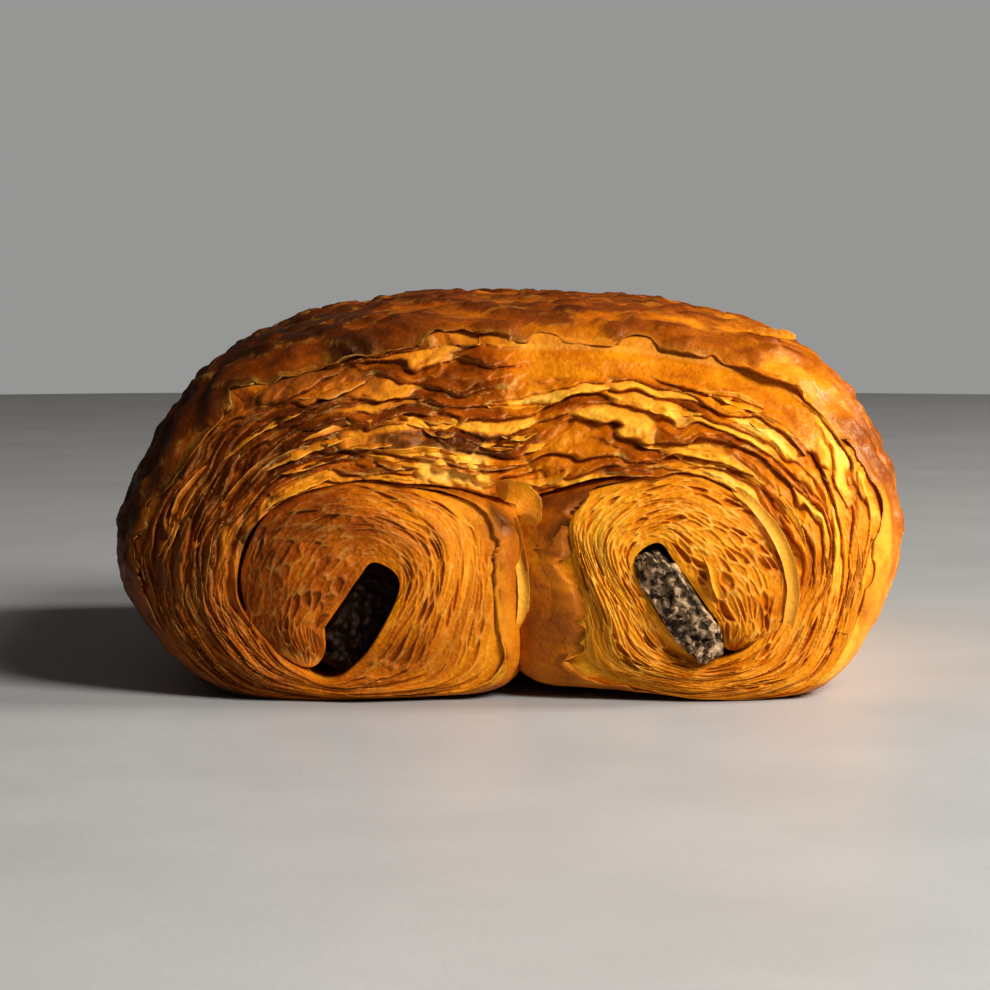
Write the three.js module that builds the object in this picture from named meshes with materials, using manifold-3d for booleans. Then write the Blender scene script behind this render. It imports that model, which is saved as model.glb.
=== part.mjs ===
// A pain au chocolat: one sheet of laminated dough, rolled from both ends round two sticks of dark
// chocolate and baked seam side down. Millimetres, +Z up. The sticks run along Y, the two rolls lie side
// by side along X, and the origin is the middle of the underside.
import * as THREE from "three";
import { ParametricGeometry } from "three/addons/geometries/ParametricGeometry.js";
import { mergeVertices } from "three/addons/utils/BufferGeometryUtils.js";
import Module from "manifold-3d";

// Driving dimensions
const LENGTH = 94; // along the sticks, between the planes that the cut ends are set back from
const HALF_WIDTH = 41; // across the two rolls
const HEIGHT = 40; // from the underside to the crown
const SKIN_ROUNDING = 15; // how far behind a cut edge the skin has puffed out to its full size
const CUT_DOME = 1.1; // how far a cut end stands out between its two edges
const STEPS_PER_STATION = 4; // facets along the rolled sheet, from one station to the next
const FUSED_SETBACK = 13; // how far behind a cut end the turns of the roll have baked together
const CHANNEL_GAP = 0.35; // between a stick and the crumb round it

const CRUST_COLOUR = 0xc0701f;
const CHOCOLATE_COLOUR = 0x33201a;

// The sheet in section, from the tip rolled up in the right-hand roll, under it, up the side and over the
// crown to the middle. Each station crosses the sheet: inner is its face towards the sticks, cut its outer
// edge at the cut end, and skin its outer face at mid length. Points are [x, z] in per cent of HALF_WIDTH
// and HEIGHT, and setback says how far inner and cut lie behind the plane at half LENGTH.
const RIGHT_ROLL = [
  { inner: [58, 15.5], cut: [58, 15.5], skin: [58, 15.5], setback: [4.5, 4.5] }, // tip
  { inner: [53, 19], cut: [65.5, 19.5], skin: [65.5, 19.5], setback: [2.5, 4.2] },
  { inner: [45, 30.5], cut: [69.5, 35], skin: [69.5, 35], setback: [2, 4] },
  { inner: [40, 37.5], cut: [57.5, 48.5], skin: [57.5, 49], setback: [2, 4] },
  { inner: [35, 40.5], cut: [39.5, 55.5], skin: [39.5, 56], setback: [2, 5] }, // over the stick
  { inner: [30, 35.5], cut: [15.5, 46], skin: [5.6, 49], setback: [2, 4] },
  { inner: [34, 23], cut: [18, 22.5], skin: [3.6, 24], setback: [2, 3] }, // crease between the rolls
  { inner: [41, 13], cut: [20.5, 5], skin: [8, 0], setback: [3, 4] },
  { inner: [48.5, 9], cut: [45, 0.6], skin: [45, 0], setback: [3, 3] }, // underside
  { inner: [62, 13], cut: [76, 5], skin: [79, 1], setback: [3, 5] },
  { inner: [71.5, 28.5], cut: [88, 30], skin: [98, 29], setback: [4, 7] }, // side
  { inner: [67, 44], cut: [87.5, 54], skin: [97, 57], setback: [4, 9] },
  { inner: [50.5, 56], cut: [70, 78], skin: [76, 87], setback: [5, 12] },
  { inner: [25, 58], cut: [35, 88], skin: [38, 98.5], setback: [5, 14] },
];
const CROWN = { inner: [1, 51], cut: [0, 89.5], skin: [0, 100], setback: [6, 14] };
// The same for the left-hand roll, which leans on the right-hand one. Its x is counted to the left.
const LEFT_ROLL = [
  { inner: [54.5, 11.5], cut: [54.5, 11.5], skin: [54.5, 11.5], setback: [4.5, 4.5] },
  { inner: [49, 17], cut: [64.5, 21], skin: [64.5, 21], setback: [2.5, 4.2] },
  { inner: [42.5, 26.5], cut: [66, 35.5], skin: [66, 35.5], setback: [2, 4] },
  { inner: [38, 33], cut: [56, 48.5], skin: [56, 49], setback: [2, 5] },
  { inner: [33, 35.5], cut: [35, 53.5], skin: [35, 54], setback: [2, 5] },
  { inner: [27.5, 30.5], cut: [10.5, 46], skin: [0.6, 48.5], setback: [2, 4] },
  { inner: [31, 18], cut: [4.5, 25], skin: [-1.4, 24], setback: [2, 3] },
  { inner: [37, 9], cut: [8, 2.5], skin: [3, 0], setback: [3, 4] },
  { inner: [45, 4.5], cut: [38, 0.5], skin: [38, 0], setback: [3, 3] },
  { inner: [60, 10], cut: [69, 3], skin: [76, 1], setback: [3, 5] },
  { inner: [68.5, 25], cut: [88.5, 21], skin: [97.5, 26], setback: [4, 7] },
  { inner: [65, 43.5], cut: [90, 44], skin: [98, 50], setback: [4, 9] },
  { inner: [49, 54.5], cut: [67, 75], skin: [77, 84], setback: [5, 12] },
  { inner: [22.5, 56], cut: [32, 87], skin: [40, 98], setback: [5, 14] },
];
// Where the skin is sampled between a cut end and mid length, as shares of that stretch.
const SKIN_SHARES = [0.02, 0.08, 0.18, 0.33, 0.6];
// Where a cut end is sampled from its inner edge to its outer one.
const CUT_SHARES = [0, 0.25, 0.5, 0.75, 0.92, 1];

// The two chocolate sticks: middle of the section, its lean from upright, its size, and where it lies.
const STICK_LENGTH = 87;
const STICKS = [
  { name: "chocolate_stick_right", x: 16.75, z: 9.8, lean: -33, width: 3.3, depth: 11.4, y: -1.9 },
  { name: "chocolate_stick_left", x: -15.35, z: 8.5, lean: 27, width: 3.7, depth: 11.2, y: -0.4 },
];

// One long edge of the sheet as a smooth curve through its stations: x and z in millimetres, and the
// setback from the cut end as y.
function edge(stations, which, setbackOf) {
  const points = stations.map(
    (s) => new THREE.Vector3((s[which][0] * HALF_WIDTH) / 100, setbackOf(s), (s[which][1] * HEIGHT) / 100),
  );
  return new THREE.CatmullRomCurve3(points, false, "catmullrom", 0.5);
}

function mirrored(station) {
  const flip = ([x, z]) => [-x, z];
  return {
    ...station,
    inner: flip(station.inner),
    cut: flip(station.cut),
    skin: flip(station.skin),
  };
}

// The outline of the sheet's long section, as [face, share] pairs: across one cut end, along the skin,
// across the other cut end and back along the inner face.
function sectionLoop() {
  const along = [...SKIN_SHARES.map((s) => s / 2), 0.5, ...SKIN_SHARES.map((s) => 1 - s / 2).reverse()];
  return [
    ...CUT_SHARES.map((t) => ["front", t]),
    ...along.map((w) => ["skin", w]),
    ...[...CUT_SHARES].reverse().map((t) => ["back", t]),
    ...[...along].reverse().map((w) => ["inner", w]),
  ];
}

// The rolled sheet as one closed surface: sectionLoop carried along the stations.
function rolledSheet({ stations, inner, cut, skin }) {
  const loop = sectionLoop();
  const place = (u, v, target) => {
    const [face, share] = loop[Math.round(u * loop.length) % loop.length];
    const inside = inner.getPoint(v);
    const rim = cut.getPoint(v);
    if (face === "front" || face === "back") {
      const end = face === "front" ? -1 : 1;
      const dome = CUT_DOME * 4 * share * (1 - share) * Math.min(1, inside.distanceTo(rim) / 5);
      target.lerpVectors(inside, rim, share);
      target.y = end * (LENGTH / 2 - (target.y - dome));
    } else {
      const reach = LENGTH / 2 - (face === "skin" ? rim.y : inside.y);
      target.copy(face === "skin" ? rim : inside);
      target.y = reach * (2 * share - 1);
      if (face === "skin") {
        const behind = Math.min(1, (reach - Math.abs(target.y)) / SKIN_ROUNDING);
        const puff = Math.sqrt(1 - (1 - behind) ** 2);
        const full = skin.getPoint(v);
        target.x += (full.x - rim.x) * puff;
        target.z += (full.z - rim.z) * puff;
      }
    }
    target.z = Math.max(target.z, 0); // flat where it was baked on its tray
  };
  const steps = (stations.length - 1) * STEPS_PER_STATION;
  return closed(new ParametricGeometry(place, loop.length, steps));
}

// The crumb that has baked together inside the rolls: it reaches half way into the sheet all round.
function fusedCrumb({ stations, inner, skin }) {
  const crease = 6; // the station where the two rolls touch, counted from either tip
  const spans = stations.length - 1;
  const outline = [];
  for (let k = crease; k <= spans - crease; k += 0.5) {
    const middle = inner.getPoint(k / spans).lerp(skin.getPoint(k / spans), 0.5);
    outline.push(new THREE.Vector2(middle.x, middle.z));
  }
  const depth = LENGTH - 2 * FUSED_SETBACK;
  const crumb = new THREE.ExtrudeGeometry(new THREE.Shape(outline), { depth, bevelEnabled: false });
  crumb.translate(0, 0, -depth / 2);
  return closed(crumb.rotateX(Math.PI / 2));
}

// The whole dough: the sheet and its fused crumb, with a channel through the crumb for each stick.
function rolledDough() {
  const stations = [...RIGHT_ROLL, CROWN, ...LEFT_ROLL.map(mirrored).reverse()];
  const sheet = {
    stations,
    inner: edge(stations, "inner", (s) => s.setback[0]),
    cut: edge(stations, "cut", (s) => s.setback[1]),
    skin: edge(stations, "skin", (s) => s.setback[1]),
  };
  const channels = STICKS.map((stick) => solidOf(closed(stickBar(stick, CHANNEL_GAP))));
  const crumb = channels.reduce((left, channel) => left.subtract(channel), solidOf(fusedCrumb(sheet)));
  return geometryOf(solidOf(rolledSheet(sheet)).add(crumb));
}

// A closed geometry as a solid that can be cut and joined, and back.
function solidOf(geometry) {
  return new wasm.Manifold(
    new wasm.Mesh({
      numProp: 3,
      vertProperties: new Float32Array(geometry.attributes.position.array),
      triVerts: new Uint32Array(geometry.index.array),
    }),
  );
}

function geometryOf(solid) {
  const mesh = solid.getMesh();
  const geometry = new THREE.BufferGeometry();
  geometry.setAttribute("position", new THREE.BufferAttribute(mesh.vertProperties, 3));
  geometry.setIndex(new THREE.BufferAttribute(mesh.triVerts, 1));
  geometry.computeVertexNormals();
  return geometry;
}

// Joins the vertices that lie together and leaves out the triangles that close up to nothing.
function closed(geometry) {
  geometry.deleteAttribute("normal");
  geometry.deleteAttribute("uv");
  const merged = mergeVertices(geometry, 1e-4);
  const index = merged.index.array;
  const kept = [];
  for (let i = 0; i < index.length; i += 3) {
    const [a, b, c] = [index[i], index[i + 1], index[i + 2]];
    if (a !== b && b !== c && c !== a) kept.push(a, b, c);
  }
  merged.setIndex(kept);
  merged.computeVertexNormals();
  return merged;
}

// A stick of baking chocolate where it lies: a bar with rounded edges, softened at its ends. room makes
// it that much larger all round.
function stickBar({ x, z, lean, width, depth, y }, room = 0) {
  const soft = 0.6;
  const w = width / 2 - soft + room;
  const d = depth / 2 - soft + room;
  const corner = w * 0.8;
  const section = new THREE.Shape();
  section.moveTo(w, -d + corner);
  section.absarc(w - corner, d - corner, corner, 0, Math.PI / 2);
  section.absarc(-w + corner, d - corner, corner, Math.PI / 2, Math.PI);
  section.absarc(-w + corner, -d + corner, corner, Math.PI, 1.5 * Math.PI);
  section.absarc(w - corner, -d + corner, corner, 1.5 * Math.PI, 2 * Math.PI);
  const bar = new THREE.ExtrudeGeometry(section, {
    depth: STICK_LENGTH - 2 * soft,
    bevelThickness: soft,
    bevelSize: soft,
    bevelSegments: 3,
    curveSegments: 4,
  });
  bar.translate(0, 0, soft - STICK_LENGTH / 2);
  bar.rotateX(Math.PI / 2);
  bar.rotateY(THREE.MathUtils.degToRad(lean));
  return bar.translate(x, y, z);
}

function chocolateStick(stick) {
  const chocolate = new THREE.MeshStandardMaterial({ color: CHOCOLATE_COLOUR, roughness: 0.6, metalness: 0 });
  const mesh = new THREE.Mesh(stickBar(stick), chocolate);
  mesh.name = stick.name;
  return mesh;
}

const wasm = await Module();
wasm.setup();

const dough = new THREE.Mesh(
  rolledDough(),
  new THREE.MeshStandardMaterial({ color: CRUST_COLOUR, roughness: 0.45, metalness: 0 }),
);
dough.name = "rolled_dough";

const pastry = new THREE.Group();
pastry.add(dough, ...STICKS.map(chocolateStick));
const box = new THREE.Box3().setFromObject(pastry);
const middle = box.getCenter(new THREE.Vector3());
pastry.position.set(-middle.x, -middle.y, -box.min.z);

export default pastry;
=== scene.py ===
"""A pain au chocolat: a laminated sheet rolled from both ends round two sticks of dark chocolate.

The dough is worked out as one rolled sheet. Walking along the sheet, from the tip rolled up in the
right-hand roll to the tip in the left-hand one, gives the first parameter; the second one goes across the
sheet at a cut end, or from one cut end to the other over the crust. Sizes in the tables are millimetres or
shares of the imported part's box, and meshes are made in metres.
"""

import logging
import math
from dataclasses import dataclass
from enum import Enum
from typing import NamedTuple

import bpy
import numpy as np
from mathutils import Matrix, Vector


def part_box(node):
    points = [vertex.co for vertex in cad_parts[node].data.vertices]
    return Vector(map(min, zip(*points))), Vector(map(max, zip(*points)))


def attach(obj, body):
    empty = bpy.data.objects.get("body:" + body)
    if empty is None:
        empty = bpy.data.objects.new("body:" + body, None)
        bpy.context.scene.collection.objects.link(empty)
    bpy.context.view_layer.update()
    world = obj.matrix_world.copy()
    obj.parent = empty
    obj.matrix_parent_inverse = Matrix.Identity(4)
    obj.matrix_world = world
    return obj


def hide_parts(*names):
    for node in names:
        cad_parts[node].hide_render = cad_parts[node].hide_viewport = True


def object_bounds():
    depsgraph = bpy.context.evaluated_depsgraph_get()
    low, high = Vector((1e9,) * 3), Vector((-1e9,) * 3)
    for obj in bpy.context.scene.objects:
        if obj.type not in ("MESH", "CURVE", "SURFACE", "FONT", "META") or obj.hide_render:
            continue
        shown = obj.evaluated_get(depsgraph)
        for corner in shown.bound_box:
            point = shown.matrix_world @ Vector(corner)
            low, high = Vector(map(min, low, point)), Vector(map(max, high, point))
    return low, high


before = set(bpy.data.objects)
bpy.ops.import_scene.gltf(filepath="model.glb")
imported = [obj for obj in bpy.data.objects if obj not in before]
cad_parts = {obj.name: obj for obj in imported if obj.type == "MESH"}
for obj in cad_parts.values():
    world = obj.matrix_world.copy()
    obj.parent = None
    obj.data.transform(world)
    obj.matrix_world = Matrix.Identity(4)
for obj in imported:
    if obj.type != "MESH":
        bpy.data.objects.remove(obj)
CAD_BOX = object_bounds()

MM = 0.001
log = logging.getLogger("pastry")
Socket = bpy.types.NodeSocket


# ---------------------------------------------------------------- small mathematics


def smoothstep(low: float, high: float, x: np.ndarray) -> np.ndarray:
    """The cubic 3v^2 - 2v^3 of v, where v runs from 0 at low to 1 at high and is held outside."""
    v = np.clip((x - low) / (high - low), 0.0, 1.0)
    return v * v * (3.0 - 2.0 * v)


def window(x: np.ndarray, low: float, high: float, soft: float) -> np.ndarray:
    """1 between low and high, and 0 outside, with an edge as wide as soft on either side."""
    return smoothstep(low - soft, low + soft, x) * (1.0 - smoothstep(high - soft, high + soft, x))


def unit(v: np.ndarray) -> np.ndarray:
    """Each vector along the last axis, divided by its length."""
    return v / np.maximum(np.linalg.norm(v, axis=-1, keepdims=True), 1e-9)


def through(points: np.ndarray, u: np.ndarray) -> np.ndarray:
    """A smooth curve through points, at the places u counted in points from the first one.

    Between two points p1 and p2 it is the cubic that leaves p1 along (p2 - p0) / 2 and reaches p2 along
    (p3 - p1) / 2. The points past both ends are the mirror images of the second ones.

    Args:
        points: one point a row.
        u: places along the curve, from 0 to the number of points less 1.

    Returns:
        An array with u's shape and one more axis for the coordinates.
    """
    padded = np.vstack([2 * points[0] - points[1], points, 2 * points[-1] - points[-2]])
    at = np.clip(np.floor(u).astype(int), 0, len(points) - 2)
    f = (u - at)[..., None]
    p0, p1, p2, p3 = (padded[at + k] for k in range(4))
    m1, m2 = (p2 - p0) / 2, (p3 - p1) / 2
    return p1 + m1 * f + (3 * (p2 - p1) - 2 * m1 - m2) * f**2 + (2 * (p1 - p2) + m1 + m2) * f**3


class Cells(NamedTuple):
    """How places lie between scattered centres.

    Attributes:
        near: the distance to the nearest centre.
        second: the distance to the second nearest one.
        share: a number from 0 to 1 that belongs to the nearest one.
        over: how far past the nearest one the place lies along b.
    """

    near: np.ndarray
    second: np.ndarray
    share: np.ndarray
    over: np.ndarray

    @property
    def border(self) -> np.ndarray:
        """0 on the borders between two cells, and more inside them."""
        return self.second - self.near


@dataclass(frozen=True)
class Grain:
    """Seeded irregularity over a plane, the same on every run."""

    seed: int

    def _hash(self, i: np.ndarray, j: np.ndarray) -> np.ndarray:
        """Mixes pairs of whole numbers with the seed.

        Args:
            i, j: the two numbers of each pair.

        Returns:
            32 bits for each pair, which look unrelated to it.
        """
        salt = np.uint32((self.seed * 2246822519 + 97) % 2**32)
        h = i.astype(np.int64).astype(np.uint32) * np.uint32(374761393)
        h = h + j.astype(np.int64).astype(np.uint32) * np.uint32(668265263) + salt
        h = (h ^ (h >> np.uint32(13))) * np.uint32(1274126177)
        h = (h ^ (h >> np.uint32(15))) * np.uint32(2246822519)
        return h ^ (h >> np.uint32(16))

    def share(self, i: np.ndarray, j: np.ndarray) -> np.ndarray:
        """An unrelated number from 0 to 1 for each pair of whole numbers."""
        return self._hash(np.asarray(i), np.asarray(j)) / np.float64(2**32)

    def smooth(self, a: np.ndarray, b: np.ndarray) -> np.ndarray:
        """Gradient noise with a period of about 1, from -1 to 1.

        Each corner of the unit square round a place has a slope in a direction of its own. The four ramps
        that the slopes make are blended with the quintic 6f^5 - 15f^4 + 10f^3.

        Args:
            a, b: places, of shapes that go together.

        Returns:
            The noise at each place.
        """
        a, b = np.broadcast_arrays(np.asarray(a, float), np.asarray(b, float))
        ia, ib = np.floor(a), np.floor(b)
        fa, fb = a - ia, b - ib

        def ramp(da: int, db: int) -> np.ndarray:
            """The ramp of the corner that lies da and db from the square's first one."""
            angle = self.share(ia + da, ib + db) * 2 * math.pi
            return np.cos(angle) * (fa - da) + np.sin(angle) * (fb - db)

        ea, eb = (f**3 * (f * (f * 6 - 15) + 10) for f in (fa, fb))
        near = ramp(0, 0) * (1 - ea) + ramp(1, 0) * ea
        far = ramp(0, 1) * (1 - ea) + ramp(1, 1) * ea
        return np.clip((near * (1 - eb) + far * eb) * 1.55, -1.0, 1.0)

    def rough(self, a: np.ndarray, b: np.ndarray, octaves: int = 3, gain: float = 0.5) -> np.ndarray:
        """Noise that is rough at several sizes: smooth() added up at 1, 2, 4, ... times the frequency.

        Args:
            a, b: places, of shapes that go together.
            octaves: how many are added up.
            gain: the height of each as a share of the one before.

        Returns:
            The noise at each place, from -1 to 1.
        """
        total = sum(
            gain**k * Grain(self.seed + 31 * k).smooth(np.asarray(a) * 2**k, np.asarray(b) * 2**k)
            for k in range(octaves)
        )
        return total / sum(gain**k for k in range(octaves))

    def cells(self, a: np.ndarray, b: np.ndarray, spread: float = 1.0) -> Cells:
        """Scattered centres, one in each unit square, and how a place lies between them.

        Args:
            a, b: places, of shapes that go together.
            spread: how far the centres stray from the middle of their squares along b.

        Returns:
            How each place lies.
        """
        a, b = np.broadcast_arrays(np.asarray(a, float), np.asarray(b, float))
        ia, ib = np.floor(a), np.floor(b)
        near = np.full(a.shape, 9.0)
        second = np.full(a.shape, 9.0)
        owner = np.zeros(a.shape)
        over = np.zeros(a.shape)
        for da in (-1, 0, 1):
            for db in (-1, 0, 1):
                ca = ia + da + Grain(self.seed + 1).share(ia + da, ib + db)
                cb = ib + db + 0.5 + spread * (Grain(self.seed + 2).share(ia + da, ib + db) - 0.5)
                away = np.hypot(a - ca, b - cb)
                nearer = away < near
                second = np.where(nearer, near, np.minimum(second, away))
                owner = np.where(nearer, self.share(ia + da, ib + db), owner)
                over = np.where(nearer, b - cb, over)
                near = np.where(nearer, away, near)
        return Cells(near, second, owner, over)


# ---------------------------------------------------------------- meshes


def tube_faces(points: np.ndarray, rows: int, cols: int) -> tuple[np.ndarray, np.ndarray]:
    """The faces of a tube, turned round if its volume comes out negative, so that they point outwards.

    Args:
        points: rows along the tube with columns round it, and then the middles of its two ends. Tubes that
            are alike may be stacked on axes in front.
        rows, cols: the numbers of rows and columns.

    Returns:
        The corner numbers of the four-sided faces, and those of the triangles that close the ends.
    """
    here = np.arange(rows * cols).reshape(rows, cols)
    right = np.roll(here, -1, axis=1)
    quads = np.stack([here[:-1], here[1:], right[1:], right[:-1]], axis=-1).reshape(-1, 4)
    first = np.stack([np.full(cols, rows * cols), here[0], right[0]], axis=-1)
    last = np.stack([np.full(cols, rows * cols + 1), right[-1], here[-1]], axis=-1)
    fans = np.vstack([first, last])
    corners = points[..., np.vstack([quads[:, :3], quads[:, [0, 2, 3]], fans]), :]
    p, q, r = (corners[..., k, :] for k in range(3))
    if (p * np.cross(q, r)).sum() < 0:
        quads, fans = quads[:, ::-1], fans[:, ::-1]
    return quads, fans


def closed_mesh(name: str, grid: np.ndarray, values: dict[str, np.ndarray]) -> bpy.types.Object:
    """Makes a tube of a grid of points: rows along the tube, and columns round it.

    The last column joins the first one, and a fan round a middle point closes each end. The edges between
    the fans and the tube are sharp.

    Args:
        name: the object's name.
        grid: rows by columns by 3, in millimetres.
        values: numbers for each point of the grid, stored as attributes with these names.

    Returns:
        The new object, linked to the scene.
    """
    rows, cols = grid.shape[:2]
    middles = np.stack([grid[0].mean(axis=0), grid[-1].mean(axis=0)])
    points = np.vstack([grid.reshape(-1, 3), middles])
    extra = {k: np.append(np.ravel(v), [v[0].mean(), v[-1].mean()]) for k, v in values.items()}
    made = mesh_object(name, points, list(tube_faces(points, rows, cols)), extra)
    ends = np.zeros(len(made.data.edges) * 2, np.int32)
    made.data.edges.foreach_get("vertices", ends)
    ends = ends.reshape(-1, 2)
    rim = (ends < cols).all(axis=1) | ((ends >= (rows - 1) * cols) & (ends < rows * cols)).all(axis=1)
    sharp = made.data.attributes.new("sharp_edge", "BOOLEAN", "EDGE")
    sharp.data.foreach_set("value", rim)
    return made


def mesh_object(
    name: str, points: np.ndarray, faces: list[np.ndarray], values: dict[str, np.ndarray]
) -> bpy.types.Object:
    """Puts points, faces and attributes into a new smooth-shaded mesh object at the origin.

    Args:
        name: the object's name.
        points: one point a row, in millimetres.
        faces: arrays of corner numbers, each with faces of one number of corners.
        values: numbers for each point, stored as attributes with these names.

    Returns:
        The new object, linked to the scene.
    """
    mesh = bpy.data.meshes.new(name)
    mesh.vertices.add(len(points))
    mesh.vertices.foreach_set("co", (points * MM).astype(np.float32).ravel())
    corners = np.concatenate([f.ravel() for f in faces])
    lengths = np.concatenate([np.full(len(f), f.shape[1]) for f in faces])
    mesh.loops.add(len(corners))
    mesh.loops.foreach_set("vertex_index", corners.astype(np.int32))
    mesh.polygons.add(len(lengths))
    mesh.polygons.foreach_set("loop_start", (np.cumsum(lengths) - lengths).astype(np.int32))
    mesh.update(calc_edges=True)
    mesh.validate()
    mesh.shade_smooth()
    for key, value in values.items():
        layer = mesh.attributes.new(key, "FLOAT", "POINT")
        layer.data.foreach_set("value", value.astype(np.float32))
    made = bpy.data.objects.new(name, mesh)
    bpy.context.scene.collection.objects.link(made)
    return made


# ---------------------------------------------------------------- the rolled sheet


class Line(Enum):
    """The lines that run along the sheet."""

    INNER = 0
    CUT = 1
    SKIN = 2


class Side(Enum):
    """The two cut ends, with the way each one faces along Y."""

    FRONT = -1
    BACK = 1


class Station(NamedTuple):
    """A place along the sheet: x and z in per cent of the half width and height, setbacks in mm."""

    inner: tuple[float, float]
    cut: tuple[float, float]
    skin: tuple[float, float]
    setback: tuple[float, float]


# From the tip in the right-hand roll, under it, up the side and over to the middle.
RIGHT_ROLL = [
    Station((58, 15.5), (58, 15.5), (58, 15.5), (4.5, 4.5)),
    Station((53, 19), (65.5, 19.5), (65.5, 19.5), (2.5, 4.2)),
    Station((45, 30.5), (69.5, 35), (69.5, 35), (2, 4)),
    Station((40, 37.5), (57.5, 48.5), (57.5, 49), (2, 4)),
    Station((35, 40.5), (39.5, 55.5), (39.5, 56), (2, 5)),
    Station((30, 35.5), (15.5, 46), (5.6, 49), (2, 4)),
    Station((34, 23), (18, 22.5), (3.6, 24), (2, 3)),
    Station((41, 13), (20.5, 5), (8, 0), (3, 4)),
    Station((48.5, 9), (45, 0.6), (45, 0), (3, 3)),
    Station((62, 13), (76, 5), (79, 1), (3, 5)),
    Station((71.5, 28.5), (88, 30), (98, 29), (4, 7)),
    Station((67, 44), (87.5, 54), (97, 57), (4, 9)),
    Station((50.5, 56), (70, 78), (76, 87), (5, 12)),
    Station((25, 58), (35, 88), (38, 98.5), (5, 14)),
]
CROWN = Station((1, 51), (0, 89.5), (0, 100), (6, 14))
# The same for the left-hand roll, with x counted to the left.
LEFT_ROLL = [
    Station((54.5, 11.5), (54.5, 11.5), (54.5, 11.5), (4.5, 4.5)),
    Station((49, 17), (64.5, 21), (64.5, 21), (2.5, 4.2)),
    Station((42.5, 26.5), (66, 35.5), (66, 35.5), (2, 4)),
    Station((38, 33), (56, 48.5), (56, 49), (2, 5)),
    Station((33, 35.5), (35, 53.5), (35, 54), (2, 5)),
    Station((27.5, 30.5), (10.5, 46), (0.6, 48.5), (2, 4)),
    Station((31, 18), (4.5, 25), (-1.4, 24), (2, 3)),
    Station((37, 9), (8, 2.5), (3, 0), (3, 4)),
    Station((45, 4.5), (38, 0.5), (38, 0), (3, 3)),
    Station((60, 10), (69, 3), (76, 1), (3, 5)),
    Station((68.5, 25), (88.5, 21), (97.5, 26), (4, 7)),
    Station((65, 43.5), (90, 44), (98, 50), (4, 9)),
    Station((49, 54.5), (67, 75), (77, 84), (5, 12)),
    Station((22.5, 56), (32, 87), (40, 98), (5, 14)),
]
LAST = len(RIGHT_ROLL) + len(LEFT_ROLL)  # the number of the last station

# Stations counted from either tip. 4 is over the stick, 6 in the crease, 8 underneath and 10 at the side.
SKIN_STARTS = 4.0  # where a roll's outer skin comes out of the turn inside it
ROLL_ENDS = 9.5  # where the cut end's pieces meet
FOOT = 9.6  # where the crust's pieces meet


def from_tip(u: np.ndarray) -> np.ndarray:
    """The stations u, counted from the nearer tip."""
    return np.minimum(u, LAST - u)


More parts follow.
